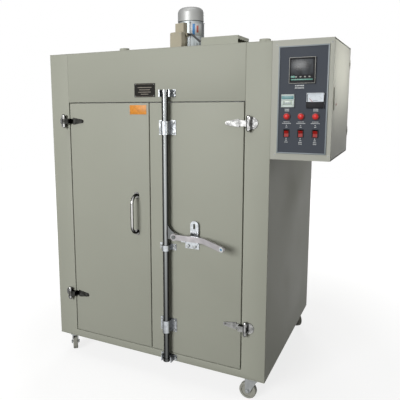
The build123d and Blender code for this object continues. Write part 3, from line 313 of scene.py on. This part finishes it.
# Front frame and door sheets with their folded edges
def folded(name, outline, depth, body, replaced, bevel=2.5):
    """A sheet piece from its outline in x and z, with rounded edges, for a plain CAD sheet."""
    bm = bmesh.new()
    face = bm.faces.new([bm.verts.new(at(x, 0, z)) for x, z in outline])
    pushed = bmesh.ops.extrude_face_region(bm, geom=[face])["geom"]
    bmesh.ops.translate(bm, vec=(0, depth / 1000, 0), verts=[v for v in pushed if isinstance(v, bmesh.types.BMVert)])
    bmesh.ops.recalc_face_normals(bm, faces=bm.faces)
    round_edges(bm, bevel / 1000, 3)
    o = piece(name, bm, paint, body)
    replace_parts(o, replaced)
    return o


def oblong(x0, x1, z0, z1):
    """The outline of an upright oblong."""
    return (x0, z0), (x1, z0), (x1, z1), (x0, z1)


FRAME_SIDE, STILE, LINTEL_SIDE = 0.15, 103.4, 103.7
FRAME_DEPTH, DOOR_RIM = 62, 20
DOOR_LOW, DOOR_HIGH = 38, 1181.5
folded("front_frame", ((FRAME_SIDE, 3), (BODY_W - FRAME_SIDE, 3), (BODY_W - FRAME_SIDE, FRAME_TOP),
                       (BODY_W - STILE, FRAME_TOP), (BODY_W - STILE, 34), (STILE, 34), (STILE, FRAME_TOP),
                       (FRAME_SIDE, FRAME_TOP)), FRAME_DEPTH, "cabinet", "front_stiles", 1.5)
folded("lintel_panel", oblong(LINTEL_SIDE, BODY_W - LINTEL_SIDE, 1185.5, FRAME_TOP), FRAME_DEPTH, "cabinet",
       "front_rails", 0.9)
folded("left_door_pan", oblong(108, 538, DOOR_LOW, DOOR_HIGH), DOOR_RIM, "door_left", "door_left_skin")
folded("right_door_pan", oblong(542, 972, DOOR_LOW, DOOR_HIGH), DOOR_RIM, "door_right", "door_right_skin")


# Screws and bolts
def screw(bm, x, y, z, r=3.4, h=1.8, axis="y", facing=-1, aim=None):
    """A domed screw head with a shallow round recess, seated on y, x or z."""
    part = bmesh.new()
    bmesh.ops.create_cone(part, cap_ends=True, segments=16, radius1=r / 1000, radius2=r / 1000, depth=h / 1000)
    top = [f for f in part.faces if f.normal.z > 0.9]
    rim = {e for f in top for e in f.edges}
    bmesh.ops.bevel(part, geom=list(rim), offset=h * 0.45 / 1000, segments=2, profile=0.5, affect="EDGES",
                    clamp_overlap=True, material=-1)
    top = max(part.faces, key=lambda f: f.calc_center_median().z)
    bmesh.ops.inset_individual(part, faces=[top], thickness=r * 0.25 / 1000)
    bmesh.ops.translate(part, vec=(0, 0, -h * 0.25 / 1000), verts=top.verts)
    point = {"x": Vector((facing, 0, 0)), "y": Vector((0, facing, 0)), "z": Vector((0, 0, facing))}[axis]
    if aim is not None:
        point = Vector(aim).normalized()
    middle = at(x, y, z) + point * h / 2000
    bmesh.ops.transform(part, matrix=Matrix.Translation(middle) @ point.to_track_quat("Z", "Y").to_matrix().to_4x4(),
                        verts=part.verts)
    join(bm, part)


def hex_bolt(bm, x, y, z, r, h):
    """A hexagon bolt head on its washer, facing the front."""
    rod(bm, (x, y - 0.6, z), r * 1.35, 1.2, "y", 0.3, sides=24)
    rod(bm, (x, y - 1.2 - h / 2, z), r, h, "y", 0.5, sides=6)


bolts = bmesh.new()
for guide_z, half in ((176, 31.5), (1075, 31.5), (545, 14)):
    for sx in (-1, 1):
        for sz in (-1, 1):
            hex_bolt(bolts, ROD_X + sx * 31, -7.0, guide_z + sz * (half - 9), 4.2, 1.6)
piece("guide_bolts", bolts, zinc_dull, "door_right")
bolts = bmesh.new()
for x in (730.5, 760.5):
    hex_bolt(bolts, x, -8.0, 559, 5.4, 2.5)
piece("catch_bolts", bolts, zinc_dull, "door_right")
bolts = bmesh.new()
for z in (1221.5, 18):
    for sx in (-1, 1):
        hex_bolt(bolts, ROD_X + sx * 33, -7.0, z, 3.6, 1.6)
piece("keeper_bolts", bolts, zinc_dull, "cabinet")

# Plates on the left door and the lintel
bm = bmesh.new()
block(bm, (442, -0.9, 1131), (527, 0, 1172), 0.3)
piece("orange_door_plate", bm, orange, "door_left")
bm = bmesh.new()
for sx, sz in ((473, 1211), (566, 1211), (473, 1261), (566, 1261)):
    screw(bm, sx, -1.5, sz, 1.8, 1.0)
piece("sign_rivets", bm, zinc_dull, "cabinet")
bm = bmesh.new()
for width, z in ((70, 1248), (54, 1238), (62, 1228), (38, 1219)):
    block(bm, (519.5 - width / 2, -1.8, z - 1.3), (519.5 + width / 2, -1.4, z + 1.3))
for z in (1262, 1209.1):
    block(bm, (472, -1.7, z), (567, -1.4, z + 0.9))
piece("sign_bands", bm, line_tan, "cabinet")

# Pale pad and blue dot on the lever's end
LEVER_FACE = (-0.368, -0.930, 0)
bm = bmesh.new()
rod(bm, (913.15, -89.55, 590), 11.3, 0.8, aim=LEVER_FACE, bevel=0.2, sides=40)
piece("lever_tip_pad", bm, white_plastic, "lever")
bm = bmesh.new()
rod(bm, (912.9, -90.3, 590), 4.8, 0.9, aim=LEVER_FACE, bevel=0.3, sides=24)
piece("lever_tip_dot", bm, blue_tip, "lever")


# Instrument plate edge, the screws of the box front
bm = bmesh.new()
rim = 5.0
for x in (1106, 1291 - rim):
    block(bm, (x, -5.2, 983), (x + rim, -3.6, 1388), 0.6)
for z in (983, 1388 - rim):
    block(bm, (1106 + rim, -5.2, z), (1291 - rim, -3.6, z + rim), 0.6)
piece("plate_trim", bm, trim_grey, "cabinet")
bm = bmesh.new()
for x in (1098, 1299):
    for z in (977, 1394):
        screw(bm, x, 0, z, 2.6, 1.2)
piece("box_front_screws", bm, zinc_dull, "cabinet")

# Temperature controller face, unlit
cx, cz, face = PANEL_X, 1296.5, -10.0


def controller_border(bm, half, left, right, high, proud, bevel):
    """Four bars about the controller's middle, from a square's half width in to an opening."""
    for x0, x1, z0, z1 in ((-half, half, high, half), (-half, half, -half, -high),
                           (-half, left, -high, high), (right, half, -high, high)):
        block(bm, (cx + x0, face - proud, cz + z0), (cx + x1, face + 1, cz + z1), bevel)


bm = bmesh.new()
controller_border(bm, 48, -46.2, 46.2, 46.2, 1.2, 0.4)
piece("controller_edge", bm, grey_plastic, "cabinet")
bm = bmesh.new()
controller_border(bm, 46.2, -42, 40, 41, 0.9, 0.5)
piece("controller_bezel", bm, black_plastic, "cabinet")
bm = bmesh.new()
block(bm, (cx - 41.5, face + 0.4, cz - 17), (cx + 39.5, face + 2.5, cz + 40.5), 0.5)
piece("controller_screen", bm, screen, "cabinet")
bm = bmesh.new()
block(bm, (cx - 41.5, face + 0.6, cz - 36.2), (cx + 39.5, face + 2.5, cz - 31.4), 0.3)
block(bm, (cx - 41.5, face + 0.6, cz - 27), (cx - 26, face + 2.5, cz - 19.5), 0.3)
piece("controller_green_strip", bm, green_strip, "cabinet")
bm = bmesh.new()
for i in range(4):
    kx = cx - 22 + i * 16.5
    block(bm, (kx - 3.4, face - 0.2, cz - 26.5), (kx + 3.4, face + 1.8, cz - 21), 0.9, 3)
piece("controller_keys", bm, grey_plastic, "cabinet")

# Timer face: teal band, white line and green window in a pale shell
tx, tz, face = 1145.0, 1184.5, -8.0
bm = bmesh.new()
block(bm, (tx - 22.5, face - 0.9, tz + 6), (tx + 22.5, face + 1, tz + 18.5), 0.6)
piece("timer_band", bm, teal, "cabinet")
bm = bmesh.new()
for a, b in (((tx - 24, face - 0.9, tz + 19.5), (tx + 24, face + 1, tz + 24)),
             ((tx - 24, face - 0.9, tz - 24), (tx + 24, face + 1, tz - 19.5)),
             ((tx - 24, face - 0.9, tz - 19.5), (tx - 16.5, face + 1, tz + 1)),
             ((tx + 16.5, face - 0.9, tz - 19.5), (tx + 24, face + 1, tz + 1)),
             ((tx - 24, face - 0.9, tz + 1), (tx + 24, face + 1, tz + 5.2))):
    block(bm, a, b, 0.6)
piece("timer_front", bm, timer_shell, "cabinet")
bm = bmesh.new()
block(bm, (tx - 16.5, face + 0.4, tz - 19.5), (tx + 16.5, face + 3.4, tz + 1), 0.4)
piece("timer_window", bm, window_green, "cabinet")
bm = bmesh.new()
for i in range(4):
    block(bm, (tx - 13.5 + i * 7, face + 0.1, tz - 13), (tx - 9.2 + i * 7, face + 0.6, tz - 5.5))
piece("timer_figures", bm, print_grey, "cabinet")

# Meter dial, ticks, pale scale frame and black lower cover
mx, mz, face = 1246.5, 1184.5, -12.0
bm = bmesh.new()
block(bm, (mx - 28.6, -5.4, mz - 24.8), (mx + 28.6, -5.0, mz + 24.8))
piece("meter_dial", bm, meter_white, "cabinet")
bm = bmesh.new()
for i in range(11):
    a = math.radians(-45 + 9 * i)
    long = 4.5 if i % 5 == 0 else 2.6
    part = bmesh.new()
    bmesh.ops.create_cube(part, size=1)
    bmesh.ops.scale(part, vec=(0.0009, 0.0003, long / 1000), verts=part.verts)
    bmesh.ops.translate(part, vec=(0, 0, (33 - long / 2) / 1000), verts=part.verts)
    bmesh.ops.rotate(part, cent=(0, 0, 0), matrix=Matrix.Rotation(a, 3, "Y"), verts=part.verts)
    bmesh.ops.translate(part, vec=at(mx, -5.5, mz - 14), verts=part.verts)
    join(bm, part)
block(bm, (mx - 8, -5.6, mz - 1), (mx + 8, -5.3, mz + 1))
piece("meter_ticks", bm, print_grey, "cabinet")
bm = bmesh.new()
block(bm, (mx - 32, face - 1.2, mz - 28), (mx + 32, -9.6, mz - 4.5), 1.2, 3)
for side in (-1, 1):
    block(bm, (mx + side * 31.4 - 0.7, face - 1.1, mz - 6), (mx + side * 31.4 + 0.7, -9.6, mz + 28), 0.4)
piece("meter_lower_cover", bm, black_plastic, "cabinet")

# Pilot lamps: domes in dark red rings
LAMPS = [PANEL_X + (i - 1) * LAMP_STEP for i in range(3)]
bm = bmesh.new()
for lx in LAMPS:
    part = bmesh.new()
    bmesh.ops.create_uvsphere(part, u_segments=32, v_segments=16, radius=0.0104)
    bmesh.ops.bisect_plane(part, geom=part.verts[:] + part.edges[:] + part.faces[:], plane_co=(0, 0, 0),
                           plane_no=(0, 1, 0), clear_outer=True)
    bmesh.ops.holes_fill(part, edges=part.edges, sides=0)
    bmesh.ops.scale(part, vec=(1, 0.45, 1), verts=part.verts)
    bmesh.ops.translate(part, vec=at(lx, -9.9, LAMP_Z), verts=part.verts)
    bmesh.ops.recalc_face_normals(part, faces=part.faces)
    join(bm, part)
piece("lamp_domes", bm, red_lens, "cabinet")
bm = bmesh.new()
for lx in LAMPS:
    rod(bm, (lx, -4.8, LAMP_Z), 13.6, 5.4, "y", 1.6, sides=48)
piece("lamp_rings", bm, red_ring, "cabinet")


# Generic printed strokes beside the instruments
def strokes(bm, x, z, width, height, count):
    """A row of short printed strokes with its middle at x, z."""
    step = width / count
    for i in range(count):
        left = x - width / 2 + i * step
        block(bm, (left, -2.5, z - height / 2), (left + step * 0.74, -1.9, z + height / 2))


bm = bmesh.new()
strokes(bm, 1187, 1240.5, 34, 4.6, 6)
strokes(bm, 1187, 1232.0, 34, 4.6, 7)
for lx in (LAMPS[0], LAMPS[2]):
    strokes(bm, lx, 1152.5, 18, 3.6, 4)
    strokes(bm, lx, 1146.5, 18, 3.2, 4)
for lx in LAMPS:
    strokes(bm, lx, 1105.0, 23, 2.2, 5)
    strokes(bm, lx, 1099.3, 34, 2.6, 8)
    strokes(bm, lx, 1091.5, 5, 3.0, 1)
    strokes(bm, lx, 1085.0, 8, 2.6, 2)
    strokes(bm, lx, 1041.5, 5, 3.0, 1)
    strokes(bm, lx, 1034.5, 8, 3.0, 2)
    strokes(bm, lx, 1027.5, 13, 3.0, 3)
for lx in LAMPS[1:]:
    strokes(bm, lx, 1021.0, 13, 2.8, 3)
piece("plate_print", bm, line_white, "cabinet")

# Latch of the side door: a dull red mark over its drum
bm = bmesh.new()
rod(bm, (BOX_RIGHT + 3.6, 66, 1169), 4.4, 1.6, "x", 0.5, sides=20)
piece("latch_red_spot", bm, rust_red, "control_door")


# Motor: rounded shoulder of the cowl, shadow gap under it, through bolts and a plain label
def spun(name, profile, material):
    """A ring about the motor's axis, from a closed line of radii and heights."""
    part = bmesh.new()
    ring = [part.verts.new(Vector((r / 1000, 0, z / 1000))) for r, z in profile]
    edges = [part.edges.new((ring[i - 1], ring[i])) for i in range(len(ring))]
    bmesh.ops.spin(part, geom=ring + edges, cent=(0, 0, 0), axis=(0, 0, 1), angle=2 * math.pi, steps=72,
                   use_merge=True)
    bmesh.ops.remove_doubles(part, verts=part.verts, dist=1e-6)
    bmesh.ops.recalc_face_normals(part, faces=part.faces)
    bmesh.ops.translate(part, vec=at(MOTOR_X, MOTOR_Y, 0), verts=part.verts)
    return piece(name, part, material, "cabinet")


spun("cowl_shoulder", ((65.45, 1625.8), (64.2, 1632.5), (60.8, 1639), (55.5, 1644.6), (48.5, 1648.8), (41, 1650.8),
                       (36.9, 1650.9), (36.9, 1650.2), (64.6, 1625.6)), cowl_silver)
bm = bmesh.new()
rod(bm, (MOTOR_X, MOTOR_Y, 1582), 64.2, 3.0, "z", sides=72)
piece("cowl_shadow_gap", bm, shadow_paint, "cabinet")
bm = bmesh.new()
for i in range(4):
    a = math.radians(20 + 90 * i)
    x, y = MOTOR_X + 65 * math.cos(a), MOTOR_Y + 65 * math.sin(a)
    rod(bm, (x, y, 1495), 2.6, 150, "z", sides=14)
    rod(bm, (x, y, 1574), 5.0, 5, "z", 0.6, sides=6)
piece("motor_through_bolts", bm, zinc_dull, "cabinet")


def band(name, material, a0, a1, r, z0, z1):
    """A thin curved label on the motor, between two angles from the front."""
    part = bmesh.new()
    lowest = part.verts.new(Vector((0, -r / 1000, z0 / 1000)))
    highest = part.verts.new(Vector((0, -r / 1000, z1 / 1000)))
    edge = part.edges.new((lowest, highest))
    bmesh.ops.rotate(part, cent=(0, 0, 0), matrix=Matrix.Rotation(math.radians(a0), 3, "Z"), verts=part.verts)
    bmesh.ops.spin(part, geom=[lowest, highest, edge], cent=(0, 0, 0), axis=(0, 0, 1),
                   angle=math.radians(a1 - a0), steps=14)
    bmesh.ops.recalc_face_normals(part, faces=part.faces)
    bmesh.ops.translate(part, vec=at(MOTOR_X, MOTOR_Y, 0), verts=part.verts)
    wall = piece(name, part, material, "cabinet").modifiers.new("wall", "SOLIDIFY")
    wall.thickness = 0.0005
    wall.offset = 0


band("motor_label", label_white, 16, 80, 63.6, 1510, 1569)
band("motor_label_stripe", label_blue, 31, 42, 64.1, 1512, 1566)
band("motor_label_marks", label_red, 50, 60, 64.1, 1524, 1558)

# Terminal box lid screws, square to its turned lid
LID = Vector((-math.sin(math.radians(20)), -math.cos(math.radians(20)), 0))
ALONG = Vector((-LID.y, LID.x, 0))
bm = bmesh.new()
for sx in (-1, 1):
    for sz in (1452, 1515):
        spot = LID * 108 + ALONG * sx * (24 if sz < 1480 else 32)
        screw(bm, MOTOR_X + spot.x, MOTOR_Y + spot.y, sz, 2.8, 1.4, aim=LID)
piece("lid_screws", bm, zinc_dull, "cabinet")

# Back sheet, set in by the height of its screws, and the screws of the roof and the vent flanges
BACK = 903.1
bm = bmesh.new()
block(bm, (1.6, BACK - 0.4, 3), (BODY_W - 1.6, BACK, FRAME_TOP), 0.15)
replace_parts(piece("back_sheet", bm, paint, "cabinet"), "back_panel")
bm = bmesh.new()
for z in range(60, 1400, 220):
    for x in (14, BODY_W - 14):
        screw(bm, x, BACK, z, 4.2, 0.88, "y", 1)
for x in range(140, 1000, 160):
    for z in (16, 1396):
        screw(bm, x, BACK, z, 4.2, 0.88, "y", 1)
piece("back_screws", bm, zinc_dull, "cabinet")
bm = bmesh.new()
for x, y in ((682, 293), (819, 293), (682, 472), (819, 472)):
    screw(bm, x, y, 1413.5, 4.0, 2.2, "z", 1)
for i in range(4):
    a = math.radians(90 * i)
    screw(bm, MOTOR_X + 72 * math.cos(a), MOTOR_Y + 72 * math.sin(a), 1422, 4.0, 2.2, "z", 1)
for side in (-1, 1):
    for i in range(4):
        a = math.radians(45 + 90 * i)
        screw(bm, MOTOR_X + side * VENT_OUT + 28 * math.cos(a), VENT_Y + 28 * math.sin(a), 1415, 2.6, 1.6, "z", 1)
piece("roof_screws", bm, zinc_dull, "cabinet")


# Floor, light and the white surroundings
def white_seen(t):
    """One where the camera, metal or glass looks, and nought for other light."""
    path = add(t, "ShaderNodeLightPath")
    seen = reckon(t, "MAXIMUM", path.outputs["Is Camera Ray"], path.outputs["Is Glossy Ray"])
    return reckon(t, "MAXIMUM", seen, path.outputs["Is Transmission Ray"])


floor_mesh = bpy.data.meshes.new("floor")
bm = bmesh.new()
bmesh.ops.create_grid(bm, x_segments=1, y_segments=1, size=6)
bm.to_mesh(floor_mesh)
bm.free()
floor = bpy.data.objects.new("floor", floor_mesh)
bpy.context.scene.collection.objects.link(floor)
fm, ft, fbs = node_tree("floor_white")
fbs.inputs["Base Color"].default_value = (0.16, 0.157, 0.145, 1)
fbs.inputs["Specular IOR Level"].default_value = 0.0
# The white floor's glow is turned down near the oven, a painted shade under it on top of its real shadow, and further
# out it is plain white
f_coords = add(ft, "ShaderNodeTexCoord")
reach = ft.nodes.new("ShaderNodeVectorMath")
reach.operation = "LENGTH"
ft.links.new(f_coords.outputs["Object"], reach.inputs[0])
floor_glow_with_painted_shade = add(ft, "ShaderNodeMapRange", From_Min=0.9, From_Max=2.2, To_Min=0.80, To_Max=1.0)
ft.links.new(reach.outputs["Value"], floor_glow_with_painted_shade.inputs["Value"])
white = add(ft, "ShaderNodeEmission", Color=(1, 1, 1, 1))
ft.links.new(floor_glow_with_painted_shade.outputs[0], white.inputs["Strength"])
lit = add(ft, "ShaderNodeBsdfDiffuse", Color=(0.26, 0.26, 0.26, 1))
both = ft.nodes.new("ShaderNodeAddShader")
ft.links.new(white.outputs[0], both.inputs[0])
ft.links.new(lit.outputs[0], both.inputs[1])
choose = add(ft, "ShaderNodeMixShader")
ft.links.new(white_seen(ft), choose.inputs[0])
ft.links.new(fbs.outputs[0], choose.inputs[1])
ft.links.new(both.outputs[0], choose.inputs[2])
ft.links.new(choose.outputs[0], ft.nodes["Material Output"].inputs[0])
floor_mesh.materials.append(fm)

world = bpy.data.worlds.new("world")
bpy.context.scene.world = world
world.use_nodes = True
wt = world.node_tree
wt.nodes.clear()
w_out = add(wt, "ShaderNodeOutputWorld")
w_light = add(wt, "ShaderNodeBackground", Color=(1.0, 0.98, 0.86, 1), Strength=0.13)
w_seen = add(wt, "ShaderNodeBackground", Color=(1, 1, 1, 1), Strength=1.0)
w_mix = add(wt, "ShaderNodeMixShader")
wt.links.new(white_seen(wt), w_mix.inputs[0])
wt.links.new(w_light.outputs[0], w_mix.inputs[1])
wt.links.new(w_seen.outputs[0], w_mix.inputs[2])
wt.links.new(w_mix.outputs[0], w_out.inputs[0])


def lamp(name, place, aim, size, power, colour=(1, 1, 1), spread=180):
    """An oblong area lamp, its power in watts and its spread in degrees."""
    data = bpy.data.lights.new(name, "AREA")
    data.shape = "RECTANGLE"
    data.size, data.size_y = size
    data.energy = power
    data.color = colour
    data.spread = math.radians(spread)
    o = bpy.data.objects.new(name, data)
    bpy.context.scene.collection.objects.link(o)
    o.location = place
    o.rotation_euler = (Vector(aim) - Vector(place)).to_track_quat("-Z", "Y").to_euler()
    o.visible_camera = False


lamp("front_light", (-1.1, -6.0, 2.5), (-0.1, 0, 0.8), (2.6, 2.2), 288, (0.985, 0.99, 0.985))
lamp("top_light", (-0.3, -0.4, 4.4), (-0.1, 0, 1.0), (3.0, 3.0), 42)
lamp("back_light", (-1.6, 5.4, 2.4), (0, 0.3, 0.8), (2.4, 2.0), 110)
lamp("side_light", (2.7, -0.18, 1.75), (0.656, -0.18, 1.42), (0.5, 0.30), 0.6, (1.0, 0.99, 0.94), 12)

bpy.context.scene.view_settings.view_transform = "Standard"
